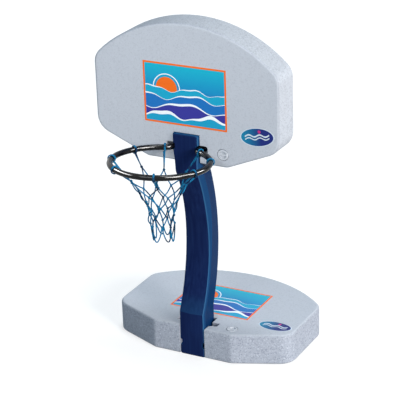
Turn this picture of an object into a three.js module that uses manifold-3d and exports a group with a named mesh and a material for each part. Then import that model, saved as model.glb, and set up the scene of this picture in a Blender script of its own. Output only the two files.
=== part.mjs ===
// Poolside basketball hoop: two alike hollow tanks, one lying as the base and one standing as the
// backboard, joined by a bowed hollow post that carries a push-in rim and its net.
// Millimetres, +Z up, the hoop faces -Y. The origin is on the floor under the middle of the base.
import * as THREE from 'three';
import { mergeVertices } from 'three/addons/utils/BufferGeometryUtils.js';
import Module from 'manifold-3d';

const wasm = await Module();
wasm.setup();

// Fits
const seatGap = 0.3;
const slideClearance = 0.5;
const overrun = 20;

// Tank outline: a flat edge, two slanted edges, two upright sides and one large arc
const tankWidth = 832;
const tankHeight = 582;
const tankThickness = 136;
const tankArcRadius = 577;
const flatEdgeWidth = 364;
const shoulderHeight = 98;
const flatCornerRadius = 50;
const shoulderRadius = 75;
const topCornerRadius = 70;
const tankEdgeRadius = 9;
const tankWall = 4;

// Slot for the post, open at the tank's flat edge, with an arm on each side for the rim's legs
const slotDepth = 122;
const slotArmSpan = 190;
const slotArmStart = 47;
const slotArmHeight = 31;
const slotShoulderRadius = 20;
const slotArmRadius = 9;
const slotFlare = 2;

// Fill cap, its washer and the neck that takes them
const capAcross = 165;
const capUp = 54.5;
const capRadius = 23.5;
const capFlange = 4;
const capProud = 1;
const capEdge = 1;
const capPlugRadius = 17;
const capPlugLength = 12;
const capPlugWall = 2.5;
const capClearance = 0.4;
const capRecessMargin = 2;
const gripRadius = 15;
const gripBar = 7;
const gripDepth = 4;
const gripFloor = 2.5;
const washerThickness = 1.5;
const washerMargin = 1;
const neckEnd = 3;

// Post: an end block at each end, a bowed body between them
const boardHeight = 880;
const postWidth = 118;
const postFrontLowWidth = 116;
const postFrontHighWidth = 107;
const postCreaseLowDepth = 15;
const postCreaseHighDepth = 34;
const postNarrowFrom = 400;
const postNarrowTo = 720;
const postBackWidth = 95;
const postFrontRadius = 10;
const postBackRadius = 8;
const postEndRadius = 6;
const postFrontBow = 79;
const postBackBow = 63;
const postFootStraight = 200;
const postHeadStraight = 38;
const postRidge = 5;
const postWall = 4;
const blockLength = 42;
const taperLength = 54;
const channelWidth = 48;
const channelFloorWidth = 34;
const channelDepth = 6;
const notchWidth = 24;
const notchFloorWidth = 2;
const notchDepth = 10;
const ventRadius = 6;
const ventFromTop = 330;
const lugWidth = 28;
const lugHeight = 20;
const lugProud = 10;
const lugSlant = 4;
const lugRecessWidth = 14;
const lugRecessHeight = 8;
const lugFromTop = 190;

// Rim: one bent tube, a ring in front and two legs that pass through the slot's arms
const rimRadius = 198.5;
const rimTube = 24;
const rimTubeWall = 1.5;
const rimReach = 220;
const rimTilt = THREE.MathUtils.degToRad(3.6);
const rimBendRadius = 28;
const rimLegEndInset = 24;
const boardSetback = 12;
const grooveDepth = 12;
const grooveClearance = 4;
const plugFlange = 3;
const plugStem = 12;

// Net
const netLoops = 8;
const netLength = 330;
const netCord = 5;
const netKnot = 9;
const netLoopTurnShares = [0.078, 0.183, 0.317, 0.42, 0.54, 0.66, 0.814, 0.947];
const netTieRadiusShares = [0.5, 0.64, 0.75, 0.72, 0.6, 0.66, 0.45, 0.66];
const netTieDepthShares = [0.3, 0.21, 0.25, 0.18, 0.29, 0.17, 0.24, 0.18];
const netRowRadiusShares = [0.43, 0.32, 0.28, 0.266, 0.25];
const netRowDepthShares = [0.38, 0.52, 0.66, 0.8, 1];

// How finely round stretches are divided
const arcSteps = 24;
const cornerSteps = 5;
const edgeSteps = 3;
const hollowEdgeSteps = 1;
const bowSteps = 16;
const taperSteps = 4;
const slotCornerSteps = 3;
const postCornerSteps = 3;
const turnedSteps = 24;
const ringSteps = 52;
const bendSteps = 5;
const tubeSides = 12;
const boreSides = 6;
const cordSides = 5;
const loopSteps = 10;
const knotRings = 3;

// Values worked out from the ones above
const slotWidth = postWidth + 2 * slideClearance;
const postDepth = slotDepth - slideClearance;
const postLength = boardHeight + slotDepth - seatGap;
const postBowTop = boardHeight - postHeadStraight;
const baseFront = -tankHeight / 2;
const boardFace = baseFront + boardSetback;
const tubeRadius = rimTube / 2;
const grooveWidth = rimTube + grooveClearance;
const grooveFloor = postLength - blockLength - grooveWidth;
const legAcross = postWidth / 2 - grooveDepth + seatGap + tubeRadius;
const legHeight = grooveFloor + seatGap + tubeRadius;
const ringAhead = Math.sqrt((rimRadius + rimBendRadius) ** 2 - (legAcross + rimBendRadius) ** 2);
const ringCentreY = boardFace - rimReach;
const legFront = ringCentreY + ringAhead * Math.cos(rimTilt);
const legBack = boardFace + tankThickness - rimLegEndInset;
const ringCentreZ = legHeight + ringAhead * Math.sin(rimTilt);
const capRecessRadius = capRadius + capRecessMargin;
const capRecessDepth = washerThickness + capFlange + 2 * seatGap - capProud;
const neckRadius = capPlugRadius + capClearance;
const neckBossRadius = capRecessRadius + tankWall;
const neckBossDepth = capRecessDepth + capPlugLength + neckEnd;

// Materials
const finish = (color, roughness) => new THREE.MeshStandardMaterial({ color, roughness });
const tankPlastic = finish(0xb8c0cc, 0.6);
const capPlastic = finish(0xb4bcc8, 0.5);
const postPlastic = finish(0x1c2c66, 0.4);
const rimPaint = finish(0x101012, 0.3);
const plugPlastic = finish(0x151517, 0.5);
const washerRubber = finish(0x1a1a1a, 0.9);
const netTwine = finish(0x1270aa, 0.8);

const hoop = new THREE.Group();

// Turns a closed three.js geometry into a solid that can be cut and joined.
function solidOf(geometry) {
  const bare = geometry.clone();
  bare.deleteAttribute('normal');
  bare.deleteAttribute('uv');
  const merged = mergeVertices(bare);
  const index = merged.index.array;
  const kept = [];
  for (let i = 0; i < index.length; i += 3) {
    const [a, b, c] = [index[i], index[i + 1], index[i + 2]];
    if (a !== b && b !== c && c !== a) kept.push(a, b, c);
  }
  const vertProperties = new Float32Array(merged.attributes.position.array);
  return new wasm.Manifold(new wasm.Mesh({ numProp: 3, vertProperties, triVerts: new Uint32Array(kept) }));
}

// Turns a solid back into a geometry that a mesh can hold.
function geometryOf(solid) {
  const { vertProperties, triVerts } = solid.getMesh();
  const geometry = new THREE.BufferGeometry();
  geometry.setAttribute('position', new THREE.BufferAttribute(vertProperties, 3));
  geometry.setIndex(new THREE.BufferAttribute(triVerts, 1));
  geometry.computeVertexNormals();
  return geometry;
}

function addPart(group, name, solid, material) {
  const mesh = new THREE.Mesh(geometryOf(solid), material);
  mesh.name = name;
  group.add(mesh);
  return mesh;
}

// Skins a stack of outlines that run anticlockwise, one above the other, and caps both ends.
function loft(sections) {
  const count = sections[0].outline.length;
  const positions = [];
  const index = [];
  for (const { z, outline } of sections) {
    for (const point of outline) positions.push(point.x, point.y, z);
  }
  for (let row = 0; row + 1 < sections.length; row += 1) {
    for (let i = 0; i < count; i += 1) {
      const next = (i + 1) % count;
      const low = row * count;
      const high = low + count;
      index.push(low + i, low + next, high + next);
      index.push(low + i, high + next, high + i);
    }
  }
  const top = (sections.length - 1) * count;
  for (const [a, b, c] of THREE.ShapeUtils.triangulateShape(sections[0].outline, [])) index.push(a, c, b);
  for (const [a, b, c] of THREE.ShapeUtils.triangulateShape(sections.at(-1).outline, [])) {
    index.push(top + a, top + b, top + c);
  }
  const geometry = new THREE.BufferGeometry();
  geometry.setAttribute('position', new THREE.Float32BufferAttribute(positions, 3));
  geometry.setIndex(index);
  return solidOf(geometry);
}

// A box from its lowest corner to its highest.
function boxBetween(low, high) {
  const size = high.map((value, i) => value - low[i]);
  const geometry = new THREE.BoxGeometry(...size);
  geometry.translate(...low.map((value, i) => value + size[i] / 2));
  return solidOf(geometry);
}

// A round bar along Z from one height to another.
function barBetween(radius, low, high, x = 0, y = 0, sides = turnedSteps) {
  const geometry = new THREE.CylinderGeometry(radius, radius, high - low, sides);
  geometry.rotateX(Math.PI / 2);
  geometry.translate(x, y, (low + high) / 2);
  return solidOf(geometry);
}

// A piece turned about Z from a profile of radius and height pairs.
function turned(profile) {
  const points = profile.map(([radius, height]) => new THREE.Vector2(radius, height));
  const geometry = new THREE.LatheGeometry(points, turnedSteps);
  geometry.rotateX(Math.PI / 2);
  return solidOf(geometry);
}

// A closed outline from its right half: the half itself, then its mirror image back again.
function mirrored(right) {
  const left = right.map((point) => new THREE.Vector2(-point.x, point.y)).reverse();
  return [...right, ...left];
}

function arcPoints(x, y, radius, from, to, steps) {
  const points = [];
  for (let i = 0; i <= steps; i += 1) {
    const angle = from + ((to - from) * i) / steps;
    points.push(new THREE.Vector2(x + radius * Math.cos(angle), y + radius * Math.sin(angle)));
  }
  return points;
}

// Rounds the corner between two straight edges, whichever way it turns.
function filletPoints(before, corner, after, radius, steps = cornerSteps) {
  const incoming = corner.clone().sub(before).normalize();
  const outgoing = after.clone().sub(corner).normalize();
  const side = Math.sign(incoming.cross(outgoing));
  const turn = Math.acos(incoming.dot(outgoing));
  const start = corner.clone().addScaledVector(incoming, -radius * Math.tan(turn / 2));
  const inwards = new THREE.Vector2(-incoming.y, incoming.x).multiplyScalar(side * radius);
  const centre = start.clone().add(inwards);
  const from = Math.atan2(start.y - centre.y, start.x - centre.x);
  return arcPoints(centre.x, centre.y, radius, from, from + side * turn, steps);
}

// The tank's outline seen from its face, drawn in by an inset for the space inside its walls.
function tankOutline(inset) {
  const side = tankWidth / 2 - inset;
  const slant = Math.atan2(shoulderHeight, (tankWidth - flatEdgeWidth) / 2);
  const flat = new THREE.Vector2(flatEdgeWidth / 2 - inset * Math.tan(slant / 2), inset);
  const rise = (inset + (side - flatEdgeWidth / 2) * Math.sin(slant)) / Math.cos(slant);
  const shoulder = new THREE.Vector2(side, rise);
  const arcCentre = tankHeight - tankArcRadius;
  const arcRadius = tankArcRadius - inset;
  const cornerRadius = topCornerRadius - inset;
  const cornerX = side - cornerRadius;
  const cornerY = arcCentre + Math.sqrt((arcRadius - cornerRadius) ** 2 - cornerX ** 2);
  const cornerAngle = Math.atan2(cornerY - arcCentre, cornerX);
  const right = [
    ...filletPoints(new THREE.Vector2(0, inset), flat, shoulder, flatCornerRadius - inset),
    ...filletPoints(flat, shoulder, new THREE.Vector2(side, cornerY), shoulderRadius - inset),
    ...arcPoints(cornerX, cornerY, cornerRadius, 0, cornerAngle, cornerSteps),
  ];
  const crown = arcPoints(0, arcCentre, arcRadius, cornerAngle, Math.PI - cornerAngle, arcSteps).slice(1, -1);
  const left = right.map((point) => new THREE.Vector2(-point.x, point.y)).reverse();
  return [...right, ...crown, ...left];
}

// A plate of the tank's outline with rounded edges, between two heights.
function tankBlank(inset, low, high, edge, steps) {
  const geometry = new THREE.ExtrudeGeometry(new THREE.Shape(tankOutline(inset)), {
    depth: high - low - 2 * edge,
    bevelThickness: edge,
    bevelSize: edge,
    bevelOffset: -edge,
    bevelSegments: steps,
  });
  geometry.translate(0, 0, low + edge);
  return solidOf(geometry);
}

// The slot's outline, grown on every side. Below the arms its walls swing outwards in a large curve.
function slotOutline(grow) {
  const half = slotWidth / 2 + grow;
  const arm = slotArmSpan / 2 + grow;
  const armLow = slotArmStart - grow;
  const armHigh = slotArmStart + slotArmHeight + grow;
  const mouth = new THREE.Vector2(half, -overrun);
  const shoulder = new THREE.Vector2(half, armLow);
  const low = new THREE.Vector2(arm, armLow);
  const high = new THREE.Vector2(arm, armHigh);
  const root = new THREE.Vector2(half, armHigh);
  const right = [
    mouth,
    ...filletPoints(mouth, shoulder, low, slotShoulderRadius - grow, slotCornerSteps),
    ...filletPoints(shoulder, low, high, slotArmRadius + grow, slotCornerSteps),
    ...filletPoints(low, high, root, slotArmRadius + grow, slotCornerSteps),
    root,
    new THREE.Vector2(half, slotDepth + grow),
  ];
  return mirrored(right);
}

function slotCutter() {
  return loft([
    { z: -overrun, outline: slotOutline(slotFlare) },
    { z: 0, outline: slotOutline(slotFlare) },
    { z: slotFlare, outline: slotOutline(0) },
    { z: tankThickness - slotFlare, outline: slotOutline(0) },
    { z: tankThickness, outline: slotOutline(slotFlare) },
    { z: tankThickness + overrun, outline: slotOutline(slotFlare) },
  ]);
}

// A hollow tank lying on its back: its outline in X and Y, its face at the top.
function tankSolid() {
  const top = tankThickness;
  const slotWalls = loft([
    { z: -overrun, outline: slotOutline(tankWall) },
    { z: top + overrun, outline: slotOutline(tankWall) },
  ]);
  const boss = barBetween(neckBossRadius, top - neckBossDepth, top + overrun, capAcross, capUp);
  const inside = tankBlank(tankWall, tankWall, top - tankWall, tankEdgeRadius - tankWall, hollowEdgeSteps);
  const hollow = inside.subtract(slotWalls).subtract(boss);
  const recess = barBetween(capRecessRadius, top - capRecessDepth, top + overrun, capAcross, capUp);
  const neck = barBetween(neckRadius, top - neckBossDepth - overrun, top, capAcross, capUp);
  return tankBlank(0, 0, top, tankEdgeRadius, edgeSteps)
    .subtract(hollow)
    .subtract(slotCutter())
    .subtract(recess)
    .subtract(neck);
}

// A screw-in fill cap: a flange with two finger pockets and a grip bar between them, over a hollow plug.
function capSolid() {
  const ceiling = capFlange - gripDepth - gripFloor;
  const cap = turned([
    [0, ceiling],
    [capPlugRadius - capPlugWall, ceiling],
    [capPlugRadius - capPlugWall, -capPlugLength],
    [capPlugRadius, -capPlugLength],
    [capPlugRadius, 0],
    [capRadius, 0],
    [capRadius, capFlange - capEdge],
    [capRadius - capEdge, capFlange],
    [0, capFlange],
  ]);
  const reach = gripRadius + overrun;
  const bar = boxBetween([-reach, -gripBar / 2, -reach], [reach, gripBar / 2, reach]);
  const pockets = barBetween(gripRadius, capFlange - gripDepth, capFlange + overrun).subtract(bar);
  return cap.subtract(pockets);
}

function washerSolid() {
  const inner = capPlugRadius + capClearance;
  const outer = capRadius - washerMargin;
  return turned([[inner, 0], [outer, 0], [outer, washerThickness], [inner, washerThickness], [inner, 0]]);
}

// Adds one tank with its cap and washer to a group, in the tank's own frame.
function addTank(group, tankName, prefix) {
  addPart(group, tankName, tankSolid(), tankPlastic);
  const washer = addPart(group, `${prefix}_cap_washer`, washerSolid(), washerRubber);
  const seat = tankThickness - capRecessDepth + seatGap;
  washer.position.set(capAcross, capUp, seat);
  const cap = addPart(group, `${prefix}_fill_cap`, capSolid(), capPlastic);
  cap.position.set(capAcross, capUp, seat + washerThickness + seatGap);
}

// How far a bow between two heights stands off its chord.
function bowAt(z, low, high, sagitta) {
  const half = (high - low) / 2;
  const radius = (half * half + sagitta * sagitta) / (2 * sagitta);
  const along = Math.min(Math.abs(z - (low + high) / 2), half);
  return Math.sqrt(radius * radius - along * along) - Math.sqrt(radius * radius - half * half);
}

// 1 in the post's end blocks, 0 in its body, and smooth between them.
function blockness(z) {
  const fromEnd = Math.min(z, postLength - z) - blockLength - grooveWidth;
  return 1 - THREE.MathUtils.smoothstep(fromEnd, 0, taperLength);
}

// How far the post's back stands behind its foot's front.
function postBackAt(z) {
  return postDepth + bowAt(z, postFootStraight, postBowTop, postBackBow);
}

// The post's outline at one height, drawn in by an inset: Y runs from its front to its back. Each side
// has a facet at its front, which widens upwards as the front narrows, and then slants in to the back.
function postOutline(z, inset) {
  const mix = (body, block) => THREE.MathUtils.lerp(body, block, blockness(z));
  const rise = THREE.MathUtils.smoothstep(z, postNarrowFrom, postNarrowTo);
  const front = bowAt(z, postFootStraight, postBowTop, postFrontBow) + inset;
  const back = postBackAt(z) - inset;
  const bodyFrontWidth = THREE.MathUtils.lerp(postFrontLowWidth, postFrontHighWidth, rise);
  const frontHalf = mix(bodyFrontWidth, postWidth) / 2 - inset;
  const creaseHalf = postWidth / 2 - inset;
  const creaseY = front + THREE.MathUtils.lerp(postCreaseLowDepth, postCreaseHighDepth, rise);
  const backHalf = mix(postBackWidth, postWidth) / 2 - inset;
  const ridge = mix(postRidge, 0);
  const channelHalf = mix(channelWidth, notchWidth) / 2 + inset;
  const floorHalf = mix(channelFloorWidth, notchFloorWidth) / 2 + inset;
  const floorY = back - mix(channelDepth, notchDepth);
  const frontRound = postFrontRadius;
  const backRound = postBackRadius;
  const quarter = Math.PI / 2;
  const right = [
    ...arcPoints(frontHalf - frontRound, front + frontRound, frontRound, -quarter, 0, postCornerSteps),
    new THREE.Vector2(creaseHalf, creaseY),
    ...arcPoints(backHalf - backRound, back - backRound, backRound, 0, quarter, postCornerSteps),
    new THREE.Vector2(channelHalf, back),
    new THREE.Vector2(floorHalf, floorY),
  ];
  return [new THREE.Vector2(0, front - ridge), ...mirrored(right)];
}

// Heights at which the post's outline is drawn, closer together where it changes fast.
function postHeights() {
  const blockEnd = blockLength + grooveWidth;
  const heights = [];
  for (let i = 0; i <= taperSteps; i += 1) {
    const along = blockEnd + (taperLength * i) / taperSteps;
    heights.push(along, postLength - along);
  }
  const low = postFootStraight;
  const high = postLength - blockEnd - taperLength;
  for (let i = 0; i < bowSteps; i += 1) heights.push(low + ((high - low) * i) / bowSteps);
  return heights.sort((a, b) => a - b);
}

// The groove round an end block's sides and back, grown towards the post's middle by a wall.
function grooveCutter(low, grow) {
  const half = postWidth / 2 - grooveDepth - grow;
  const back = postDepth - grooveDepth - grow;
  const slabLow = [-postWidth, -overrun, low - grow];
  const slabHigh = [postWidth, postDepth + overrun, low + grooveWidth + grow];
  const core = boxBetween([-half, -2 * overrun, 0], [half, back, postLength]);
  return boxBetween(slabLow, slabHigh).subtract(core);
}

function postSolid() {
  const rounded = postEndRadius * (1 - Math.SQRT1_2);
  const ends = [[0, postEndRadius], [rounded, rounded], [postEndRadius, 0]];
  const inner = postHeights();
  const outer = [
    ...ends.map(([z, inset]) => ({ z, outline: postOutline(z, inset) })),
    ...inner.map((z) => ({ z, outline: postOutline(z, 0) })),
    ...ends.reverse().map(([z, inset]) => ({ z: postLength - z, outline: postOutline(z, inset) })),
  ];
  const hollow = [postWall, ...inner, postLength - postWall];
  let cavity = loft(hollow.map((z) => ({ z, outline: postOutline(z, postWall) })));
  let post = loft(outer);
  for (const low of [blockLength, grooveFloor]) {
    post = post.subtract(grooveCutter(low, 0));
    cavity = cavity.subtract(grooveCutter(low, postWall));
  }
  const ventHeight = postLength - ventFromTop;
  const vent = barBetween(ventRadius, -overrun, overrun, 0, 0, tubeSides)
    .rotate([90, 0, 0])
    .translate([0, postBackAt(ventHeight), ventHeight]);
  return post.subtract(cavity).subtract(vent).add(lugSolid());
}

// A small raised lug with a dark recess, in the channel down the post's back.
function lugSolid() {
  const height = postLength - lugFromTop;
  const root = postBackAt(height) - channelDepth - postWall / 2;
  const half = lugWidth / 2;
  const tip = half - lugSlant;
  const section = (z, across, up) => ({
    z,
    outline: mirrored([new THREE.Vector2(across, -up), new THREE.Vector2(across, up)]),
  });
  const block = loft([
    section(0, half, lugHeight / 2),
    section(lugProud + postWall / 2, tip, lugHeight / 2 - lugSlant),
  ]);
  const recess = boxBetween(
    [-lugRecessWidth / 2, -lugRecessHeight / 2, postWall],
    [lugRecessWidth / 2, lugRecessHeight / 2, lugProud + overrun],
  );
  const drift = postBackAt(height + lugHeight) - postBackAt(height - lugHeight);
  const slope = THREE.MathUtils.radToDeg(Math.atan2(drift, 2 * lugHeight));
  return block.subtract(recess).rotate([-90 - slope, 0, 0]).translate([0, root, height]);
}

// A path whose stations are placed by hand, so that bends get more of them than the ring does.
class StationPath extends THREE.Curve {
  constructor(stations) {
    super();
    this.stations = stations;
  }

  getPoint(t, target = new THREE.Vector3()) {
    const last = this.stations.length - 1;
    const place = Math.min(Math.max(t, 0), 1) * last;
    const index = Math.min(Math.floor(place + Number.EPSILON * last), last - 1);
    return target.lerpVectors(this.stations[index], this.stations[index + 1], place - index);
  }

  getPointAt(u, target) {
    return this.getPoint(u, target);
  }

  getTangentAt(u, target = new THREE.Vector3()) {
    const last = this.stations.length - 1;
    const index = Math.round(u * last);
    const ahead = this.stations[Math.min(index + 1, last)].clone().sub(this.stations[index]).normalize();
    const behind = this.stations[index].clone().sub(this.stations[Math.max(index - 1, 0)]).normalize();
    return target.copy(ahead).add(behind).normalize();
  }
}

// A point of the tilted ring's plane: across, and ahead of where the legs begin.
const onRimPlane = (across, ahead) =>
  new THREE.Vector3(across, legFront - ahead * Math.cos(rimTilt), legHeight + ahead * Math.sin(rimTilt));

function rimStations() {
  const bendAcross = legAcross + rimBendRadius;
  const bendTurn = Math.atan2(ringAhead, bendAcross);
  const bend = arcPoints(bendAcross, 0, rimBendRadius, Math.PI, Math.PI - bendTurn, bendSteps);
  const gap = Math.atan2(bendAcross, ringAhead);
  const from = gap - Math.PI / 2;
  const ring = arcPoints(0, ringAhead, rimRadius, from, Math.PI - from, ringSteps).slice(1, -1);
  const leg = new THREE.Vector3(legAcross, legBack, legHeight);
  const right = bend.map((point) => onRimPlane(point.x, point.y));
  const left = right.map((point) => new THREE.Vector3(-point.x, point.y, point.z)).reverse();
  const front = ring.map((point) => onRimPlane(point.x, point.y));
  return [leg, ...right, ...front, ...left, new THREE.Vector3(-legAcross, legBack, legHeight)];
}

function rimSolid() {
  const circle = (radius, sides) => arcPoints(0, 0, radius, 0, 2 * Math.PI, sides).slice(0, -1);
  const section = new THREE.Shape(circle(tubeRadius, tubeSides));
  section.holes.push(new THREE.Path(circle(tubeRadius - rimTubeWall, boreSides)));
  const stations = rimStations();
  const extrudePath = new StationPath(stations);
  const steps = stations.length - 1;
  return solidOf(new THREE.ExtrudeGeometry(section, { steps, bevelEnabled: false, extrudePath }));
}

// A plug for a leg's open end: a domed flange and a stem inside the tube.
function plugSolid() {
  const bore = (tubeRadius - rimTubeWall) * Math.cos(Math.PI / boreSides);
  const stem = bore - seatGap;
  const dome = plugFlange / 2;
  return turned([
    [0, -plugStem],
    [stem, -plugStem],
    [stem, 0],
    [tubeRadius, 0],
    [tubeRadius, dome],
    [tubeRadius - dome, plugFlange],
    [0, plugFlange],
  ]);
}

function addRim(group) {
  addPart(group, 'rim', rimSolid(), rimPaint);
  for (const [side, name] of [[-1, 'left'], [1, 'right']]) {
    const plug = addPart(group, `rim_end_plug_${name}`, plugSolid(), plugPlastic);
    plug.rotation.x = -Math.PI / 2;
    plug.position.set(side * legAcross, legBack + seatGap, legHeight);
  }
}

// A point of the net: the row's tilt fades from the ring's to level at the net's foot.
function netPoint(angle, radiusShare, depthShare) {
  const radius = rimRadius * radiusShare;
  const y = radius * Math.sin(angle);
  const drop = netLength * depthShare + y * Math.sin(rimTilt) * (1 - depthShare);
  return new THREE.Vector3(radius * Math.cos(angle), ringCentreY + y, ringCentreZ - drop);
}

// A straight piece of cord between two points.
function cordBetween(from, to) {
  const length = from.distanceTo(to);
  const geometry = new THREE.CylinderGeometry(netCord / 2, netCord / 2, length, cordSides);
  const direction = to.clone().sub(from).normalize();
  geometry.applyQuaternion(new THREE.Quaternion().setFromUnitVectors(new THREE.Vector3(0, 1, 0), direction));
  geometry.translate(...from.clone().add(to).multiplyScalar(0.5).toArray());
  return solidOf(geometry);
}

function ballAt(point, width) {
  const geometry = new THREE.SphereGeometry(width / 2, cordSides, knotRings);
  geometry.translate(...point.toArray());
  return solidOf(geometry);
}

// How far round the ring a knot stands: under a loop in one row, halfway to the next loop in the other.
function netAngle(row, i) {
  const here = netLoopTurnShares[i];
  const next = i + 1 < netLoops ? netLoopTurnShares[i + 1] : netLoopTurnShares[0] + 1;
  return 2 * Math.PI * (row % 2 === 0 ? here : (here + next) / 2);
}

// The place of a knot: row 0 ties off the loops, each at a place of its own, and the rest are even.
function knotPoint(row, place) {
  const i = (place + netLoops) % netLoops;
  const angle = netAngle(row, i);
  if (row === 0) return netPoint(angle, netTieRadiusShares[i], netTieDepthShares[i]);
  return netPoint(angle, netRowRadiusShares[row - 1], netRowDepthShares[row - 1]);
}

// A loop of cord round the ring's tube, and the doubled cord that hangs from it.
function netLoop(i) {
  const angle = netAngle(0, i);
  const inner = (tubeRadius + seatGap) / Math.cos(Math.PI / loopSteps);
  const loopRadius = inner + netCord / 2;
  const geometry = new THREE.TorusGeometry(loopRadius, netCord / 2, cordSides, loopSteps);
  geometry.rotateX(Math.PI / 2);
  geometry.rotateZ(angle);
  geometry.rotateX(-rimTilt);
  const centre = netPoint(angle, 1, 0);
  geometry.translate(...centre.toArray());
  const knot = knotPoint(0, i);
  const start = centre.clone().lerp(knot, loopRadius / centre.distanceTo(knot));
  return [solidOf(geometry), cordBetween(start, knot), ballAt(knot, netKnot)];
}

// The loops, then rows of knots that each hang from two knots above. The last row hangs in plain bends.
function netSolid() {
  const rows = netRowDepthShares.length;
  const pieces = [];
  for (let i = 0; i < netLoops; i += 1) pieces.push(...netLoop(i));
  for (let row = 1; row <= rows; row += 1) {
    const firstAbove = row % 2 === 1 ? 0 : -1;
    for (let i = 0; i < netLoops; i += 1) {
      const here = knotPoint(row, i);
      pieces.push(ballAt(here, row === rows ? netCord : netKnot));
      for (const side of [0, 1]) pieces.push(cordBetween(knotPoint(row - 1, i + firstAbove + side), here));
    }
  }
  return pieces.reduce((joined, piece) => joined.add(piece));
}

// The base lies on the floor with its flat edge to the front.
const base = new THREE.Group();
base.position.y = baseFront;
addTank(base, 'base_tank', 'base');
hoop.add(base);

// The post stands in the base's slot, flush with the flat edge.
const post = addPart(hoop, 'post', postSolid(), postPlastic);
post.position.y = baseFront;

// The backboard is the same tank stood up on the post, face forward.
const board = new THREE.Group();
board.rotation.x = Math.PI / 2;
board.position.set(0, boardFace + tankThickness, boardHeight);
addTank(board, 'backboard_tank', 'backboard');
hoop.add(board);

addRim(hoop);
addPart(hoop, 'net', netSolid(), netTwine);

export default hoop;
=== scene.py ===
# %% [markdown]
# # A poolside basketball hoop
# The hoop stands on the edge of a pool. Two alike hollow tanks, filled with water, are its base and
# its backboard. A bowed navy post joins them, and a black tube rim with a blue net pushes into both.
#
# The solids come ready made from the CAD model, so this lesson is about what they don't have yet:
# speckled plastic, glossy paint, printed stickers, a knotted net, soft light and a camera.

# %% Load the CAD model as a fixed frame
import math
import random

import bmesh
import bpy
from mathutils import Matrix, Vector


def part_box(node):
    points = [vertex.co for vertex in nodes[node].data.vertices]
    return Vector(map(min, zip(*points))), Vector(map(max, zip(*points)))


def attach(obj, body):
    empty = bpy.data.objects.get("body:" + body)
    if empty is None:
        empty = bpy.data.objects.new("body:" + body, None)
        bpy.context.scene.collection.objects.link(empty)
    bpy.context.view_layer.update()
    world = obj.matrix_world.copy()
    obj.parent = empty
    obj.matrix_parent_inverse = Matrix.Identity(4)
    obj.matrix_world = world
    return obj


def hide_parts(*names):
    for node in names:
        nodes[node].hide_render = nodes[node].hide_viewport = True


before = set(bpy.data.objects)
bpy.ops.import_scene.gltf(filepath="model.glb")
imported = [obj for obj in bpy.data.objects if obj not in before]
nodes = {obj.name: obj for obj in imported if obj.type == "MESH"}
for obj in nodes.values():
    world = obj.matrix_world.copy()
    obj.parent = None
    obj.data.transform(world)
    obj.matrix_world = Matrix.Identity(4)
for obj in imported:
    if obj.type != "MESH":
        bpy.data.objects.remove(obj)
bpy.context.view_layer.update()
scene = bpy.context.scene
print("pieces from the CAD model:", ", ".join(sorted(nodes)))

# %% [markdown]
# ## The camera
# The picture was taken from the front right, a little above the board, with a long lens. A long lens
# keeps the two tanks nearly the same size. The camera is placed on a sphere round a target, from two
# angles and a distance, and then rolled slightly, as a hand-held camera is.

# %% Place the camera on a sphere round its target
camera_azimuth = math.radians(28.38)
camera_elevation = math.radians(22.42)
camera_roll = math.radians(-1.88)
camera_distance = 7.149
camera_target = Vector((-0.1758, 0.1469, 0.522))
camera_lens = 146.1

level = math.cos(camera_elevation)
backwards = Vector((
    math.sin(camera_azimuth) * level,
    -math.cos(camera_azimuth) * level,
    math.sin(camera_elevation),
))
level_right = Vector((math.cos(camera_azimuth), math.sin(camera_azimuth), 0))
level_up = backwards.cross(level_right)
camera_right = level_right * math.cos(camera_roll) + level_up * math.sin(camera_roll)
camera_up = level_up * math.cos(camera_roll) - level_right * math.sin(camera_roll)

camera = bpy.data.objects.new("camera", bpy.data.cameras.new("camera"))
camera.data.sensor_width = 36
camera.data.lens = camera_lens
camera.data.clip_end = 200
turn = Matrix((camera_right, camera_up, backwards)).transposed().to_4x4()
camera.matrix_world = Matrix.Translation(camera_target + backwards * camera_distance) @ turn
scene.collection.objects.link(camera)
scene.camera = camera
print("camera stands at", [round(value, 2) for value in camera.matrix_world.translation])

# %% [markdown]
# ## Light
# The key lamp stands on the right and a little in front, so the right-hand sides are paler than the
# faces, and the left-hand ones darker and bluer, which shows how thick the tanks are. A weak lamp
# overhead fills the tops. Both are sun lamps: a sun is so far off that it lights the top and the foot
# of the hoop alike, and the whole floor too. Its angle is its size in the sky, and a wide one gives
# soft shadows. The post would still throw a deep shade on the base, so the key is two lamps in one
# place, and the stronger one shines past the post: light linking takes the post off the list of
# pieces that block it. A low lamp behind keeps the backs from going dark, which only the views from
# behind show.

# %% Hang the sun lamps
scene.view_settings.view_transform = "Standard"
warm_light = (1.0, 0.965, 0.92)
cool_light = (0.92, 0.97, 1.0)
sun_distance = 3


def hang_lamp(name, kind, place, color, strength):
    lamp = bpy.data.objects.new(name, bpy.data.lights.new(name, kind))
    lamp.data.energy = strength
    lamp.data.color = color
    lamp.location = place
    scene.collection.objects.link(lamp)
    print(f"{name}: {kind.lower()} lamp, strength {strength}")
    return lamp


def hang_sun(name, towards, color, strength, degrees):
    lamp = hang_lamp(name, "SUN", Vector(towards) * sun_distance, color, strength)
    lamp.data.angle = math.radians(degrees)
    lamp.rotation_euler = Vector(towards).to_track_quat("Z", "Y").to_euler()
    return lamp


key_towards = (0.86, -0.38, 0.34)
hang_sun("key_lamp", key_towards, warm_light, strength=1.6, degrees=20)
past_post = hang_sun("key_lamp_past_post", key_towards, warm_light, strength=2.4, degrees=20)
shadeless = bpy.data.collections.new("shadeless_pieces")
shadeless.objects.link(nodes["post"])
shadeless.collection_objects[0].light_linking.link_state = "EXCLUDE"
past_post.light_linking.blocker_collection = shadeless
hang_sun("top_lamp", (0.1, 0.1, 0.99), cool_light, strength=1.15, degrees=14)
back_lamp = hang_sun("back_lamp", (-0.35, 0.93, 0.1), cool_light, strength=1.2, degrees=20)
back_lamp.visible_glossy = False

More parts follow.
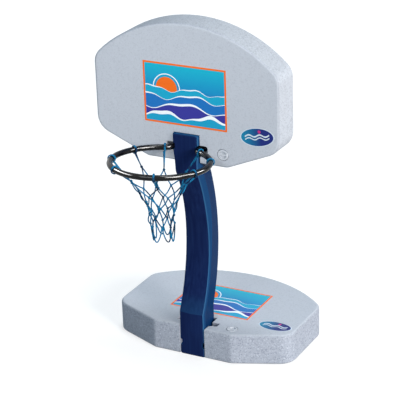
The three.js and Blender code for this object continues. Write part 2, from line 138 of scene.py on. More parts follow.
# %% [markdown]
# A strip lamp hangs near the board and lights it more than the base. Three long bars add no light to
# any colour. They are linked to the rim alone and only show in its gloss, as the long white streaks
# on black paint.

# %% Hang the strip lamp and the bars for the rim
white = (1, 1, 1)
ring_middle = (0, -0.5, 0.96)
glint_places = {
    "right_glint": (2.3, -1.1, 2.7),
    "left_glint": (-2.3, -1.3, 2.5),
    "back_glint": (2.4, 1.2, 2.0),
}


def hang_bar(name, place, color, strength, aim, size):
    lamp = hang_lamp(name, "AREA", place, color, strength)
    lamp.data.shape = "RECTANGLE"
    lamp.data.size, lamp.data.size_y = size
    lamp.rotation_euler = (Vector(place) - Vector(aim)).to_track_quat("Z", "Y").to_euler()
    lamp.visible_camera = False
    return lamp


hang_bar("strip_lamp", (-0.1, -2.4, 2.4), cool_light, strength=19,
         aim=(-0.1, -0.3, 1.1), size=(1.0, 0.25))
glossy_pieces = bpy.data.collections.new("glossy_pieces")
glossy_pieces.objects.link(nodes["rim"])
for name, place in glint_places.items():
    glint = hang_bar(name, place, white, strength=370, aim=ring_middle, size=(3.0, 0.7))
    glint.visible_diffuse = False
    glint.light_linking.receiver_collection = glossy_pieces

# %% [markdown]
# ## Helpers for nodes
# The room's light and every finish are trees of nodes. The helpers keep each tree as short as a
# recipe: one adds a node and feeds its sockets, either with a value or with what another node puts
# out. Two others are the nodes that come back in nearly every recipe, which are a sum, and one colour
# painted over another where a mask is white. A colour is three numbers here, and becomes opaque when
# it is fed.

# %% Add a node and feed its sockets
def feed(tree, value, socket):
    if isinstance(value, bpy.types.NodeSocket):
        tree.links.new(value, socket)
    elif socket.type == "RGBA":
        socket.default_value = (*value, 1)
    else:
        socket.default_value = value


def add_node(tree, kind, inputs=(), **settings):
    node = tree.nodes.new("ShaderNode" + kind)
    for name, value in settings.items():
        setattr(node, name, value)
    for socket, value in dict(inputs).items():
        feed(tree, value, node.inputs[socket])
    return node


def calculate(tree, operation, *values):
    return add_node(tree, "Math", enumerate(values), operation=operation).outputs[0]


def paint_over(tree, mask, under, over):
    mix = add_node(tree, "Mix", {"Factor": mask, 6: under, 7: over}, data_type="RGBA")
    return mix.outputs[2]


print("helpers for nodes are ready")

# %% [markdown]
# ## The room
# The room is dim and bluish where it lights the hoop. The camera, and whatever mirrors the room, see
# it white, so the background is white without any more light on the object. Light Path tells the
# rays apart.

# %% Light the room evenly, and show it white
room_light_color = (0.1, 0.175, 0.235)

world = bpy.data.worlds.new("pale_room")
world.use_nodes = True
scene.world = world
room = world.node_tree
room.nodes.clear()


def mirror_rays(tree, ray):
    return calculate(
        tree, "MAXIMUM", ray.outputs["Is Glossy Ray"], ray.outputs["Is Transmission Ray"])


ray = add_node(room, "LightPath")
seen = calculate(room, "MAXIMUM", ray.outputs["Is Camera Ray"], mirror_rays(room, ray))
room_color = paint_over(room, seen, room_light_color, white)
background = add_node(room, "Background", {"Color": room_color})
add_node(room, "OutputWorld", {"Surface": background.outputs[0]})
print("the room's light is", room_light_color)

# %% [markdown]
# ## Granite speckle, a shared effect
# The tanks and their caps are moulded from plastic that is peppered with darker and paler grains, so
# that they look like stone. A Voronoi texture scatters the grains: each cell has a random colour, and
# only the cells whose number is high enough become a grain. Noise breaks up their edges. The effect
# is a node group, built once, so that the tanks and the caps share it with values of their own.

# %% Build the granite speckle group
def start_group(name, inputs, outputs):
    group = bpy.data.node_groups.new(name, "ShaderNodeTree")
    for socket, kind, value in inputs:
        made = group.interface.new_socket(socket, in_out="INPUT", socket_type="NodeSocket" + kind)
        if value is not None:
            made.default_value = (*value, 1) if kind == "Color" else value
    for socket, kind in outputs:
        group.interface.new_socket(socket, in_out="OUTPUT", socket_type="NodeSocket" + kind)
    return group, group.nodes.new("NodeGroupInput").outputs, group.nodes.new("NodeGroupOutput").inputs


def map_range(tree, value, low, high, at_low=0.0, at_high=1.0):
    return add_node(tree, "MapRange", {
        "Value": value, "From Min": low, "From Max": high, "To Min": at_low, "To Max": at_high,
    }).outputs[0]


speckle, given, result = start_group(
    "granite_speckle",
    [("Vector", "Vector", None), ("Plain", "Color", (0.5, 0.5, 0.5)),
     ("Dark Grain", "Color", (0.2, 0.2, 0.2)), ("Pale Grain", "Color", (0.8, 0.8, 0.8)),
     ("Grains per Metre", "Float", 300.0), ("Amount", "Float", 0.5)],
    [("Color", "Color")],
)
edge_wander = 0.004
wander = add_node(speckle, "TexNoise", {"Vector": given["Vector"], "Scale": 420.0, "Detail": 2.0})
centred = add_node(
    speckle, "VectorMath", {0: wander.outputs["Color"], 1: (0.5, 0.5, 0.5)}, operation="SUBTRACT")
small = add_node(
    speckle, "VectorMath", {0: centred.outputs[0], "Scale": edge_wander}, operation="SCALE")
moved = add_node(speckle, "VectorMath", {0: given["Vector"], 1: small.outputs[0]}, operation="ADD")
cells = add_node(
    speckle, "TexVoronoi", {"Vector": moved.outputs[0], "Scale": given["Grains per Metre"]})
lottery = add_node(speckle, "SeparateColor", {0: cells.outputs["Color"]})

stone = given["Plain"]
for channel, grain_from, grain_full, grain in (
    ("Red", 0.7, 0.88, "Dark Grain"), ("Green", 0.75, 0.95, "Pale Grain")
):
    picked = map_range(speckle, lottery.outputs[channel], low=grain_from, high=grain_full)
    share = calculate(speckle, "MULTIPLY", picked, given["Amount"])
    stone = paint_over(speckle, share, stone, given[grain])
feed(speckle, stone, result["Color"])
print("granite speckle has", len(speckle.nodes), "nodes")

# %% [markdown]
# ## Mould skin, a shared effect
# A blow mould is sandblasted, so no plastic piece here is mirror smooth. It has a fine leathery skin,
# a slow unevenness where the wall has shrunk, and patches that hands and water have polished. The
# group gives the height for a Bump node and a roughness that wanders round a middle value. Paint and
# rubber have such a skin too, coarser or finer.

# %% Build the mould skin group
skin, given, result = start_group(
    "mould_skin",
    [("Vector", "Vector", None), ("Grain per Metre", "Float", 900.0),
     ("Roughness", "Float", 0.5), ("Patchiness", "Float", 0.1)],
    [("Height", "Float"), ("Roughness", "Float")],
)
slow_over_fine = 2.5
noise_middle = 0.5
fine = add_node(skin, "TexNoise", {
    "Vector": given["Vector"], "Scale": given["Grain per Metre"], "Detail": 3.0, "Roughness": 0.6})
slow = add_node(skin, "TexNoise", {"Vector": given["Vector"], "Scale": 9.0, "Detail": 2.0})
height = calculate(skin, "MULTIPLY_ADD", slow.outputs["Fac"], slow_over_fine, fine.outputs["Fac"])
feed(skin, height, result["Height"])
handled = add_node(skin, "TexNoise", {"Vector": given["Vector"], "Scale": 14.0, "Detail": 4.0})
patches = calculate(skin, "SUBTRACT", handled.outputs["Fac"], noise_middle)
uneven = calculate(skin, "MULTIPLY_ADD", patches, given["Patchiness"], given["Roughness"])
feed(skin, uneven, result["Roughness"])
print("mould skin has", len(skin.nodes), "nodes")

# %% [markdown]
# ## Three helpers for materials
# Every finish here is a Principled BSDF with a few nodes in front of it. The first helper starts such
# a material with its plain values. The second gives it a skin, whose roughness wanders round the
# shader's own. The third turns a value into a colour, by a ramp through two colours or more.

# %% Start a material, give it a skin, make a ramp of colours
def start_material(name, color, roughness, **sockets):
    material = bpy.data.materials.new(name)
    material.use_nodes = True
    tree = material.node_tree
    shader = tree.nodes["Principled BSDF"]
    feed(tree, color, shader.inputs["Base Color"])
    feed(tree, roughness, shader.inputs["Roughness"])
    for socket, value in sockets.items():
        feed(tree, value, shader.inputs[socket.replace("_", " ")])
    return material, tree, shader


def add_skin(tree, shader, grain, patchiness, depth):
    place = add_node(tree, "TexCoord")
    mould = add_node(tree, "Group", {
        "Vector": place.outputs["Object"], "Grain per Metre": grain, "Patchiness": patchiness,
        "Roughness": shader.inputs["Roughness"].default_value}, node_tree=skin)
    bump = add_node(tree, "Bump", {
        "Height": mould.outputs["Height"], "Strength": 0.35, "Distance": depth})
    feed(tree, bump.outputs["Normal"], shader.inputs["Normal"])
    feed(tree, mould.outputs["Roughness"], shader.inputs["Roughness"])
    return place


def color_ramp(tree, value, *stops):
    ramp = add_node(tree, "ValToRGB", {"Fac": value})
    elements = ramp.color_ramp.elements
    for element, (position, color) in zip(elements, (stops[0], stops[-1])):
        element.position = position
        element.color = (*color, 1)
    for position, color in stops[1:-1]:
        elements.new(position).color = (*color, 1)
    return ramp.outputs["Color"]


print("helpers for materials are ready")

# %% [markdown]
# ## Plastic of the tanks and of their caps
# Both are pale blue-grey polyethylene. The two large faces of a tank are pressed smooth, and the band
# round its edge keeps its grain, so the speckle is strong there and faint on the faces. The surface
# normal tells them apart: it points along one axis on the faces, which is up for the base and
# forward for the board. It also tells where shade is painted into the colour: the base's sides are
# painted darker and bluer, and the board's top a little darker. The rounded edges get painted shade
# too, which dims their highlights. The caps are small injection mouldings of nearly the same colour.

# %% Mix the tank and cap plastics
tank_color = (0.503, 0.529, 0.585)
# painted shade: the base's sides are painted darker and bluer, and the board's top darker
painted_side_shade_color = (0.36, 0.39, 0.46)
painted_top_shade_color = (0.42, 0.443, 0.487)
cap_color = (0.56, 0.585, 0.635)
# painted shade on the rounded edges, which dims their highlights
painted_edge_shade_color = (0.35, 0.375, 0.43)
dark_grain_color = (0.13, 0.14, 0.19)
pale_grain_color = (0.62, 0.66, 0.74)
grains_per_metre = 230
black = (0, 0, 0)


def speckled_plastic(name, side_color, top_color, face_axis, face_amount, edge_amount, roughness):
    material, tree, shader = start_material(name, top_color, roughness, Specular_IOR_Level=0.1)
    place = add_skin(tree, shader, grain=700, patchiness=0.12, depth=0.0004)
    directions = add_node(tree, "SeparateXYZ", {0: place.outputs["Normal"]})
    along = calculate(tree, "ABSOLUTE", directions.outputs[face_axis])
    amount = map_range(tree, along, low=0.3, high=0.9, at_low=edge_amount, at_high=face_amount)
    upwards = map_range(tree, directions.outputs["Z"], low=0.3, high=0.8)
    # painted shade by facing: the sides or the top get the darker colour
    painted_facing_shade = color_ramp(tree, upwards, (0, side_color), (1, top_color))
    # painted shade: the rounded edges between the faces and the band are darkened
    shaded_rounding_mask = color_ramp(tree, along, (0.1, black), (0.65, white), (0.99, black))
    with_edge_shade = paint_over(tree, shaded_rounding_mask, painted_facing_shade, painted_edge_shade_color)
    stone = add_node(tree, "Group", {
        "Vector": place.outputs["Object"], "Plain": with_edge_shade, "Dark Grain": dark_grain_color,
        "Pale Grain": pale_grain_color, "Grains per Metre": grains_per_metre, "Amount": amount,
    }, node_tree=speckle)
    feed(tree, stone.outputs["Color"], shader.inputs["Base Color"])
    print("mixed", name)
    return material


base_plastic = speckled_plastic(
    "base_plastic", painted_side_shade_color, tank_color, "Z",
    face_amount=0.12, edge_amount=0.4, roughness=0.7)
board_plastic = speckled_plastic(
    "board_plastic", tank_color, painted_top_shade_color, "Y",
    face_amount=0.12, edge_amount=0.28, roughness=0.7)
cap_plastic = speckled_plastic(
    "cap_plastic", cap_color, cap_color, "Z",
    face_amount=0.08, edge_amount=0.08, roughness=0.4)

# %% [markdown]
# ## Plastic of the post
# The post is the same kind of moulding in deep navy. Plastic that flows down a tall mould leaves faint
# upright streaks, made here by a noise that is stretched along the height. Paler blues are painted
# highlights, where the key light falls: on the facets beside the face, less so on the sides behind
# them, and on the top end. The surface normal again tells these apart.

# %% Mix the navy post plastic
# painted highlight: a paler blue on the post's top end
painted_top_highlight_color = (0.014, 0.068, 0.17)

post_plastic, tree, shader = start_material(
    "post_plastic", (0.003, 0.015, 0.078), 0.34, Specular_IOR_Level=0.015)
place = add_skin(tree, shader, grain=800, patchiness=0.14, depth=0.0004)
stretched = add_node(
    tree, "Mapping", {"Vector": place.outputs["Object"], "Scale": (90.0, 90.0, 3.0)})
flow = add_node(
    tree, "TexNoise", {"Vector": stretched.outputs["Vector"], "Scale": 1.0, "Detail": 3.0})
streaks = color_ramp(
    tree, flow.outputs["Fac"], (0.3, (0.005, 0.012, 0.06)), (0.7, (0.009, 0.022, 0.086)))

# painted highlight, chosen by the surface normal: paler blue on the side facets and on the top end
directions = add_node(tree, "SeparateXYZ", {0: place.outputs["Normal"]})
sideways = calculate(tree, "ABSOLUTE", directions.outputs["X"])
side_highlight_mask = map_range(tree, sideways, low=0.5, high=0.65)
turned = map_range(tree, directions.outputs["Y"], low=-0.75, high=0.15)
painted_side_highlight = color_ramp(
    tree, turned,
    (0, (0.023, 0.09, 0.2)), (0.6, (0.009, 0.045, 0.13)), (1, (0.002, 0.023, 0.09)))
with_side_highlight = paint_over(tree, side_highlight_mask, streaks, painted_side_highlight)
upwards = map_range(tree, directions.outputs["Z"], low=0.35, high=0.6)
with_top_highlight = paint_over(tree, upwards, with_side_highlight, painted_top_highlight_color)
feed(tree, with_top_highlight, shader.inputs["Base Color"])
print("mixed", post_plastic.name)

# %% [markdown]
# ## Paint of the rim, and the small black pieces
# The rim is steel tube with a thick gloss black powder coat. A nearly black colour with a low
# roughness gives the hard white streaks. Powder coat has a slight orange peel, a wavy skin that makes
# the streaks waver.

# %% Mix the rim paint, the plug plastic and the washer rubber
rim_paint, tree, shader = start_material("rim_paint", (0.002, 0.002, 0.0025), 0.14, IOR=1.34)
add_skin(tree, shader, grain=220, patchiness=0.06, depth=0.00005)
plug_plastic, tree, shader = start_material("plug_plastic", (0.012, 0.012, 0.013), 0.5)
add_skin(tree, shader, grain=1500, patchiness=0.15, depth=0.0002)
washer_rubber, tree, shader = start_material("washer_rubber", (0.018, 0.018, 0.018), 0.8)
add_skin(tree, shader, grain=1800, patchiness=0.1, depth=0.0002)
print("mixed the black finishes")

# %% [markdown]
# ## Dress the CAD pieces
# The CAD solids arrive as loose triangles, each with a flat shade. Three modifiers put that right
# without moving a corner: Weld joins the triangles, Edge Split keeps real corners crisp, and Weighted
# Normal lets the large flat faces set the shading, so that roundings blend into them.

# %% Smooth each piece and give it its finish
weld_distance = 0.00002


def dress(node_name, material, crisp_degrees):
    piece = nodes[node_name]
    mesh = piece.data
    for name in ("custom_normal", "sharp_edge", "sharp_face"):
        if name in mesh.attributes:
            mesh.attributes.remove(mesh.attributes[name])
    mesh.polygons.foreach_set("use_smooth", [True] * len(mesh.polygons))
    weld = piece.modifiers.new("weld", "WELD")
    weld.merge_threshold = weld_distance
    split = piece.modifiers.new("split", "EDGE_SPLIT")
    split.split_angle = math.radians(crisp_degrees)
    split.use_edge_sharp = False
    piece.modifiers.new("weighted", "WEIGHTED_NORMAL")
    for socket in piece.material_slots:
        socket.material = material
    print(node_name, "is dressed in", material.name)


for prefix, plastic in (("base", base_plastic), ("backboard", board_plastic)):
    dress(prefix + "_tank", plastic, crisp_degrees=40)
    dress(prefix + "_fill_cap", cap_plastic, crisp_degrees=35)
    dress(prefix + "_cap_washer", washer_rubber, crisp_degrees=35)
dress("post", post_plastic, crisp_degrees=14)
dress("rim", rim_paint, crisp_degrees=50)
dress("rim_end_plug_left", plug_plastic, crisp_degrees=35)
dress("rim_end_plug_right", plug_plastic, crisp_degrees=35)

# %% [markdown]
# ## The printed panel
# Each tank has a printed picture on its face, inside an orange border. The picture here is a sea with
# a low sun. It is a shader and not an image: every wave is a sine line, everything below it is
# filled, and a white crest runs along it. One wave is a node group, and the picture stacks four.

# %% Build the wave group
print_white = (0.88, 0.92, 0.95)
chop_rate = 2.3
chop_share = 0.35
crest_middle = 0.9
crest_swing = 0.5

wave, given, result = start_group(
    "printed_wave",
    [("Across", "Float", 0.0), ("Up", "Float", 0.0), ("Behind", "Color", (0, 0, 0)),
     ("Water", "Color", (0, 0.3, 0.6)), ("Level", "Float", 0.3), ("Swing", "Float", 0.04),
     ("Waves", "Float", 9.0), ("Start", "Float", 0.0), ("Crest", "Float", 0.012)],
    [("Color", "Color")],
)
phase = calculate(wave, "MULTIPLY_ADD", given["Across"], given["Waves"], given["Start"])
swell = calculate(wave, "SINE", phase)
chop = calculate(wave, "SINE", calculate(wave, "MULTIPLY", phase, chop_rate))
shape = calculate(wave, "MULTIPLY_ADD", chop, chop_share, swell)
surface = calculate(wave, "MULTIPLY_ADD", shape, given["Swing"], given["Level"])
below = calculate(wave, "SUBTRACT", surface, given["Up"])
water = calculate(wave, "GREATER_THAN", below, 0.0)
filled = paint_over(wave, water, given["Behind"], given["Water"])
thickness = calculate(wave, "MULTIPLY_ADD", swell, crest_swing, crest_middle)
crest = calculate(wave, "MULTIPLY", thickness, given["Crest"])
foam = calculate(wave, "LESS_THAN", calculate(wave, "ABSOLUTE", below), crest)
feed(wave, paint_over(wave, foam, filled, print_white), result["Color"])
print("one printed wave has", len(wave.nodes), "nodes")

# %% [markdown]
# A print is drawn by its distances, which it reads from a UV map: across from the left of a panel and
# up from its foot, or both from the middle of a badge. Round shapes need the length of a line from
# their centre, so that has a helper.

# %% Measure places on a print
def read_map(tree, uv_map):
    place = add_node(tree, "UVMap", uv_map=uv_map)
    apart = add_node(tree, "SeparateXYZ", {0: place.outputs["UV"]})
    return apart.outputs["X"], apart.outputs["Y"]


def line_length(tree, across, up):
    across_squared = calculate(tree, "MULTIPLY", across, across)
    up_squared = calculate(tree, "MULTIPLY", up, up)
    return calculate(tree, "SQRT", calculate(tree, "ADD", across_squared, up_squared))


def length_from(tree, across, up, centre):
    return line_length(
        tree, calculate(tree, "SUBTRACT", across, centre[0]),
        calculate(tree, "SUBTRACT", up, centre[1]))


def gap_between(tree, value, other):
    return calculate(tree, "ABSOLUTE", calculate(tree, "SUBTRACT", value, other))


print("helpers for prints are ready")

# %% Print the picture: sky, sun, waves and border
panel_width = 0.374
panel_height = 0.257
panel_border = 0.0075
sun_centre = (0.105, 0.15)
sun_radius = 0.048
halo_radius = 0.06
halo_half_width = 0.002
orange = (0.87, 0.15, 0.012)

panel_print, tree, shader = start_material(
    "panel_print", (0.02, 0.3, 0.5), 0.4, Specular_IOR_Level=0.15)
across, up = read_map(tree, "print")
picture = color_ramp(
    tree, calculate(tree, "DIVIDE", up, panel_height),
    (0.35, (0.03, 0.05, 0.34)), (0.6, (0.01, 0.26, 0.52)), (0.95, (0.01, 0.42, 0.58)))
from_sun = length_from(tree, across, up, sun_centre)
halo = calculate(tree, "LESS_THAN", gap_between(tree, from_sun, halo_radius), halo_half_width)
picture = paint_over(tree, halo, picture, print_white)
sun = calculate(tree, "LESS_THAN", from_sun, sun_radius)
picture = paint_over(tree, sun, picture, orange)

for water_color, water_level, swing, waves, start, crest_width in (
    ((0.012, 0.36, 0.56), 0.148, 0.009, 34.0, 0.4, 0.0016),
    ((0.014, 0.16, 0.48), 0.118, 0.012, 26.0, 2.1, 0.0024),
    ((0.04, 0.04, 0.3), 0.078, 0.014, 21.0, 4.0, 0.0036),
    ((0.012, 0.33, 0.55), 0.037, 0.011, 30.0, 5.2, 0.0055),
):
    band = add_node(tree, "Group", {
        "Across": across, "Up": up, "Behind": picture, "Water": water_color,
        "Level": water_level, "Swing": swing, "Waves": waves, "Start": start,
        "Crest": crest_width}, node_tree=wave)
    picture = band.outputs["Color"]

at_side = calculate(tree, "GREATER_THAN", gap_between(tree, across, panel_width / 2),
                    panel_width / 2 - panel_border)
at_end = calculate(tree, "GREATER_THAN", gap_between(tree, up, panel_height / 2),
                   panel_height / 2 - panel_border)
picture = paint_over(tree, calculate(tree, "MAXIMUM", at_side, at_end), picture, orange)
feed(tree, picture, shader.inputs["Base Color"])
print("the picture is", panel_width, "by", panel_height, "m")

# %% [markdown]
# ## Stickers
# A sticker is a film a quarter of a millimetre thick. Each one is drawn flat, as an outline in its
# own plane, given a UV map in metres for its print, and turned onto its tank. The panels' corners are
# slightly rounded.

# %% Make a flat sticker from an outline
film = 0.00025
base_low, base_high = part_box("base_tank")
board_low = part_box("backboard_tank")[0]


def place_sticker(point, tank):
    if tank == "base":
        return Vector((point.x, base_low.y + point.y, base_high.z + point.z))
    return Vector((point.x, board_low.y - point.z, board_low.z + point.y))


def make_sticker(name, outline, corner, tank, body, material, tilt=0.0):
    mesh = bpy.data.meshes.new(name)
    build = bmesh.new()
    prints = build.loops.layers.uv.new("print")
    top = [build.verts.new((x, y, film)) for x, y in outline]
    foot = [build.verts.new((x, y, 0)) for x, y in outline]
    faces = [build.faces.new(top)]
    for i in range(len(outline)):
        j = (i + 1) % len(outline)
        faces.append(build.faces.new((foot[i], foot[j], top[j], top[i])))
    for face in faces:
        for loop in face.loops:
            loop[prints].uv = (loop.vert.co.x - corner[0], loop.vert.co.y - corner[1])
    pivot = Matrix.Translation((*corner, 0))
    spin = pivot @ Matrix.Rotation(tilt, 4, "Z") @ pivot.inverted()
    for vertex in build.verts:
        vertex.co = place_sticker(spin @ vertex.co, tank)
    build.to_mesh(mesh)
    build.free()
    sticker = bpy.data.objects.new(name, mesh)
    scene.collection.objects.link(sticker)
    mesh.materials.append(material)
    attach(sticker, body)
    print(name, "lies on the", tank)


def rounded_rectangle(left, right, low, high, radius, steps=6):
    points = []
    for x, y, start in ((right, high, 0), (left, high, 90), (left, low, 180), (right, low, 270)):
        centre_x = x - radius if x == right else x + radius
        centre_y = y - radius if y == high else y + radius
        for step in range(steps + 1):
            angle = math.radians(start + 90 * step / steps)
            points.append((centre_x + radius * math.cos(angle), centre_y + radius * math.sin(angle)))
    return points


panel_low = 0.154
panel_corner_radius = 0.002
panel_outline = rounded_rectangle(
    -panel_width / 2, panel_width / 2, panel_low, panel_low + panel_height, panel_corner_radius)
panel_corner = (-panel_width / 2, panel_low)
make_sticker("board_panel", panel_outline, panel_corner, "board", "post_and_board", panel_print)
make_sticker("base_panel", panel_outline, panel_corner, "base", "base", panel_print)

# %% [markdown]
# ## Badges
# Low on the right of each face sits an oval badge, dark blue with a thin pale rim. It is left without
# words: two pale ripples cross it and a small pink spot stands over them. The board's badge is stuck
# on a few degrees askew, as such things are.

# %% Print the badge
badge_width = 0.15
badge_height = 0.077
badge_rim_from = 0.945
ripple_waves = 130.0
ripple_swing = 0.0042
ripple_reach = 0.72
ripple_color = (0.6, 0.68, 0.74)
spot_centre = (0.012, 0.0225)
spot_radius = 0.0065
spot_color = (0.5, 0.03, 0.2)
badge_rim_color = (0.62, 0.7, 0.78)

badge_print, tree, shader = start_material(
    "badge_print", (0.02, 0.04, 0.2), 0.4, Specular_IOR_Level=0.15)
across, up = read_map(tree, "print")
across_share = calculate(tree, "DIVIDE", across, badge_width / 2)
up_share = calculate(tree, "DIVIDE", up, badge_height / 2)
picture = color_ramp(
    tree, calculate(tree, "MULTIPLY_ADD", across_share, 0.5, 0.5),
    (0.1, (0.01, 0.2, 0.36)), (0.6, (0.014, 0.025, 0.17)))
waves = calculate(tree, "SINE", calculate(tree, "MULTIPLY", across, ripple_waves))
ripples = calculate(tree, "MULTIPLY", waves, ripple_swing)
inside = calculate(tree, "LESS_THAN", calculate(tree, "ABSOLUTE", across_share), ripple_reach)
for ripple_height, half_width in ((0.006, 0.0032), (-0.006, 0.0024)):
    ripple = calculate(tree, "ADD", ripples, ripple_height)
    line = calculate(tree, "LESS_THAN", gap_between(tree, up, ripple), half_width)
    drawn = calculate(tree, "MULTIPLY", line, inside)
    picture = paint_over(tree, drawn, picture, ripple_color)
spot = calculate(tree, "LESS_THAN", length_from(tree, across, up, spot_centre), spot_radius)
picture = paint_over(tree, spot, picture, spot_color)
from_middle = line_length(tree, across_share, up_share)
badge_rim = calculate(tree, "GREATER_THAN", from_middle, badge_rim_from)
picture = paint_over(tree, badge_rim, picture, badge_rim_color)
feed(tree, picture, shader.inputs["Base Color"])
print("a badge is", badge_width, "by", badge_height, "m")

# %% Place the badges
badge_centre = (0.319, 0.152)
badge_tilt = math.radians(7)
badge_sides = 64
badge_outline = [
    (badge_centre[0] + badge_width / 2 * math.cos(angle),
     badge_centre[1] + badge_height / 2 * math.sin(angle))
    for angle in (2 * math.pi * step / badge_sides for step in range(badge_sides))
]
make_sticker(
    "board_badge", badge_outline, badge_centre, "board", "post_and_board", badge_print, badge_tilt)
make_sticker("base_badge", badge_outline, badge_centre, "base", "base", badge_print)

# %% [markdown]
# ## The net
# Eight loops of blue twine are wound twice round the rim. Each runs down as a doubled cord to a knot.
# From there the cords fork and meet in four more rows of knots, and the foot hangs in open bends. The
# CAD net is a plain version for the physics. This one has slack cords of laid twine and tied knots,
# and random stretches of it are painted nearly black as shade.
#
# A curve with a round bevel could make the cords, but then the twist of the strands has no place to
# go. So each cord is swept by hand along its points. Its UV map runs from 0 to 1 round the cord and
# counts metres along it, and the twist follows both.

# %% Make the twine
strands = 3
lay_length = 0.009
# painted shade: the colour of the nearly black stretches of twine
painted_net_shade_color = (0.001, 0.02, 0.06)

twine, tree, shader = start_material("net_twine", (0.004, 0.1, 0.25), 0.8, Specular_IOR_Level=0.2)
round_cord, along_cord = read_map(tree, "lay")
twist = calculate(tree, "MULTIPLY_ADD", along_cord, 2 * math.pi / lay_length,
                  calculate(tree, "MULTIPLY", round_cord, strands * 2 * math.pi))
strand = calculate(tree, "MULTIPLY_ADD", calculate(tree, "SINE", twist), 0.5, 0.5)
dyed = color_ramp(tree, strand, (0.1, (0.002, 0.05, 0.14)), (0.8, (0.003, 0.19, 0.38)))
# painted shade: a slow noise paints random stretches of twine nearly black
where = add_node(tree, "TexCoord")
net_shade_noise = add_node(
    tree, "TexNoise", {"Vector": where.outputs["Object"], "Scale": 26.0, "Detail": 1.0})
net_shade_mask = map_range(tree, net_shade_noise.outputs["Fac"], low=0.5, high=0.62)
feed(tree, paint_over(tree, net_shade_mask, dyed, painted_net_shade_color), shader.inputs["Base Color"])
bump = add_node(tree, "Bump", {"Height": strand, "Strength": 0.8, "Distance": 0.0007})
feed(tree, bump.outputs["Normal"], shader.inputs["Normal"])
print("the twine is laid from", strands, "strands")

# %% Sweep a cord along points
cord_radius = 0.0026
net_build = bmesh.new()
net_uv = net_build.loops.layers.uv.new("lay")


def sweep(points, radius=cord_radius, sides=8, closed=False):
    count = len(points)
    rows = []
    along = 0.0
    lengths = []
    side = None
    for i, point in enumerate(points):
        before = points[i - 1] if i or closed else point
        after = points[(i + 1) % count] if i + 1 < count or closed else point
        heading = (after - before).normalized()
        if side is None:
            side = heading.orthogonal().normalized()
        side = (side - heading * side.dot(heading)).normalized()
        other = heading.cross(side)
        along += (point - points[i - 1]).length if i else 0.0
        lengths.append(along)
        ring = []
        for step in range(sides):
            angle = 2 * math.pi * step / sides
            offset = side * math.cos(angle) + other * math.sin(angle)
            ring.append(net_build.verts.new(point + offset * radius))
        rows.append(ring)
    for i in range(count if closed else count - 1):
        j = (i + 1) % count
        end = lengths[j] if j else lengths[i] + (points[0] - points[i]).length
        for step in range(sides):
            next_step = (step + 1) % sides
            face = net_build.faces.new(
                (rows[i][step], rows[i][next_step], rows[j][next_step], rows[j][step]))
            for loop, u, v in zip(face.loops, (step, step + 1, step + 1, step),
                                  (lengths[i], lengths[i], end, end)):
                loop[net_uv].uv = (u / sides, v)
    if not closed:
        net_build.faces.new(reversed(rows[0]))
        net_build.faces.new(rows[-1])


def soft_line(start, end, sag, steps=8):
    bow = Vector((sag.x, sag.y, -sag.z))
    return [
        start.lerp(end, step / steps) + bow * math.sin(math.pi * step / steps)
        for step in range(steps + 1)
    ]


print("cords are", 2000 * cord_radius, "mm thick")

# %% Find the rim's ring, so that the net hangs from it
rim_low, rim_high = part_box("rim")
tube_radius = 0.012
ring_radius = 0.1985
ring_tilt = math.radians(3.6)
ring_front = rim_low.y + tube_radius
ring_centre = Vector((
    0,
    ring_front + ring_radius * math.cos(ring_tilt),
    rim_high.z - tube_radius - ring_radius * math.sin(ring_tilt),
))
net_length = 0.33
print("ring centre", [round(value, 4) for value in ring_centre])


def net_point(angle, radius_share, depth_share):
    radius = ring_radius * radius_share
    y = radius * math.sin(angle)
    rise = -y * math.sin(ring_tilt) * (1 - depth_share)
    return ring_centre + Vector((radius * math.cos(angle), y, rise - net_length * depth_share))


# %% [markdown]
# A knot is a trefoil, the simplest knot there is: one closed cord that goes twice round and three
# times up and down. Its formula reaches three units from the middle, so it is divided by three before
# it gets its size. On the net it looks like the tight overhand knots of real twine.

# %% Tie a knot
knot_steps = 28
knot_cord_share = 0.85


def knot(centre, size, heading):
    lie = heading.to_track_quat("Z", "Y")
    points = []
    for step in range(knot_steps):
        turn = 2 * math.pi * step / knot_steps
        swell = 2 + math.cos(3 * turn)
        point = Vector((swell * math.cos(2 * turn), swell * math.sin(2 * turn),
                        1.5 * math.sin(3 * turn)))
        points.append(centre + lie @ (point * size / 3))
    sweep(points, cord_radius * knot_cord_share, sides=6, closed=True)


print("a knot's cord is", round(2000 * cord_radius * knot_cord_share, 2), "mm thick")

# %% [markdown]
# The eight loops stand where a player's hands have pushed them, so their angles are uneven, and each
# ties off at a height and a distance of its own. Lower down the rows even out. Odd rows knot halfway
# between two cords of the row above, so every gap becomes a diamond. The shares are of the ring's
# radius and of the net's length, and one turn goes once round the ring.

# %% Place the knots row by row
random.seed(7)
loop_turns = (0.078, 0.183, 0.317, 0.42, 0.54, 0.66, 0.814, 0.947)
tie_radius_shares = (0.5, 0.64, 0.75, 0.72, 0.6, 0.66, 0.45, 0.66)
tie_depth_shares = (0.3, 0.21, 0.25, 0.18, 0.29, 0.17, 0.24, 0.18)
row_radius_shares = (0.43, 0.32, 0.265, 0.23)
row_depth_shares = (0.38, 0.52, 0.66, 0.8)
knot_wander = 0.002
knot_wander_by_depth = 0.003
loops = len(loop_turns)


def jitter(size):
    return Vector((random.uniform(-size, size) for _ in range(3)))


def net_angle(row, i):
    here = loop_turns[i % loops]
    following = loop_turns[(i + 1) % loops]
    return 2 * math.pi * (here + (0 if row % 2 == 0 else (following - here) % 1 / 2))


knots = [[
    net_point(net_angle(0, i), tie_radius_shares[i], tie_depth_shares[i]) for i in range(loops)
]]
for row, (share, depth) in enumerate(zip(row_radius_shares, row_depth_shares), start=1):
    wander_here = knot_wander + knot_wander_by_depth * depth
    knots.append([
        net_point(net_angle(row, i), share, depth) + jitter(wander_here) for i in range(loops)
    ])
print("knots in each row:", [len(row) for row in knots])

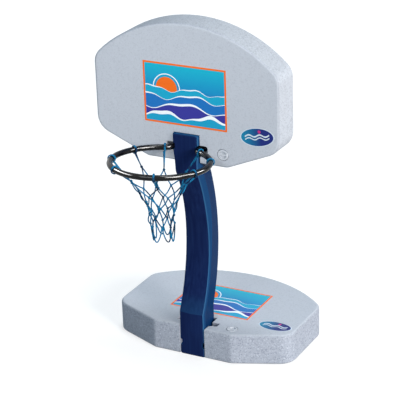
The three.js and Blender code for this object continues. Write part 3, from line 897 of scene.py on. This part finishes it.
# %% Wrap the loops round the rim and tie them off
wraps = 2
wrap_steps = 40
wrap_clearance = 0.0004
cord_spacing = 2.1 * cord_radius
tie_sag = Vector((0, 0, 0.002))
tie_slack = 0.0015
tie_knot_size = 0.0042
reach = tube_radius + cord_radius + wrap_clearance
upwards = Vector((0, math.sin(ring_tilt), math.cos(ring_tilt)))

for i in range(loops):
    angle = net_angle(0, i)
    hang = net_point(angle, 1, 0)
    outwards = Vector((math.cos(angle), math.sin(angle), 0))
    aside = upwards.cross(outwards).normalized()
    tie = knots[0][i]
    pull = (tie - hang).normalized()
    foot_turn = math.atan2(pull.dot(upwards), pull.dot(outwards))
    wrap = []
    for step in range(wrap_steps + 1):
        turn_angle = foot_turn + 2 * math.pi * wraps * step / wrap_steps
        round_tube = outwards * math.cos(turn_angle) + upwards * math.sin(turn_angle)
        wrap.append(hang + round_tube * reach - aside * cord_spacing * (step / wrap_steps))
    sweep(wrap)
    for side in (-1, 1):
        start = hang + pull * (reach + cord_radius / 2) + aside * side * cord_spacing / 2
        sweep(soft_line(start, tie, tie_sag + jitter(tie_slack)))
    knot(tie, tie_knot_size, tie - hang)
print("tied", loops, "loops to the rim")

# %% Knot the rows, and let the foot hang in bends
cord_slack = 0.003
cord_slack_by_row = 0.001
least_sag = 0.001
row_knot_size = 0.0036
knot_lean = 0.4
foot_radius_share = 0.215
foot_wander = 0.009
bend_steps = 14
bend_fullness = 0.6

for row in range(1, len(knots)):
    first_above = 0 if row % 2 else -1
    for i in range(loops):
        here = knots[row][i]
        for side in (0, 1):
            start = knots[row - 1][(i + first_above + side) % loops]
            slack = jitter(cord_slack + cord_slack_by_row * row)
            slack.z = abs(slack.z) + least_sag
            sweep(soft_line(start, here, slack))
        knot(here, row_knot_size, Vector((0, 0, -1)) + jitter(knot_lean))

foot_row = len(knots)
for i in range(loops):
    left = knots[-1][i]
    right = knots[-1][(i + 1) % loops]
    low = net_point(net_angle(foot_row, i), foot_radius_share, 1.0) + jitter(foot_wander)
    bend = []
    for step in range(bend_steps + 1):
        share = step / bend_steps
        dip = math.sin(math.pi * share) ** bend_fullness
        bend.append(left.lerp(right, share) + (low - left.lerp(right, 0.5)) * dip)
    sweep(bend)
print("knotted", len(knots) - 1, "rows under the loops")

# %% Make the net one piece
net_mesh = bpy.data.meshes.new("net_cords")
net_build.to_mesh(net_mesh)
net_build.free()
net_mesh.polygons.foreach_set("use_smooth", [True] * len(net_mesh.polygons))
net_mesh.materials.append(twine)
net = bpy.data.objects.new("net_cords", net_mesh)
scene.collection.objects.link(net)
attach(net, "rim_and_net")
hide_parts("net")
print("the net has", len(net_mesh.polygons), "faces")

# %% [markdown]
# ## The floor
# The hoop stands on a plain pale floor. Its own shade carries the soft shadow under the base, and a
# little light of its own, which only the camera and mirrors see, lifts the rest to the same white
# as the room.

# %% Lay the floor
floor_half = 30.0
floor_height = -0.0003
glow_to_camera = 0.64
glow_in_mirrors = 0.25

floor_mesh = bpy.data.meshes.new("floor")
floor_mesh.from_pydata(
    [(x * floor_half, y * floor_half, floor_height) for x, y in ((-1, -1), (1, -1), (1, 1), (-1, 1))],
    [], [(0, 1, 2, 3)])
floor = bpy.data.objects.new("floor", floor_mesh)
scene.collection.objects.link(floor)

floor_finish, tree, shader = start_material("floor_finish", (0.4, 0.4, 0.4), 0.9)
ray = add_node(tree, "LightPath")
seen = calculate(tree, "MULTIPLY", ray.outputs["Is Camera Ray"], glow_to_camera)
glow = calculate(tree, "MULTIPLY_ADD", mirror_rays(tree, ray), glow_in_mirrors, seen)
feed(tree, white, shader.inputs["Emission Color"])
feed(tree, glow, shader.inputs["Emission Strength"])
floor_mesh.materials.append(floor_finish)
print("floor laid")
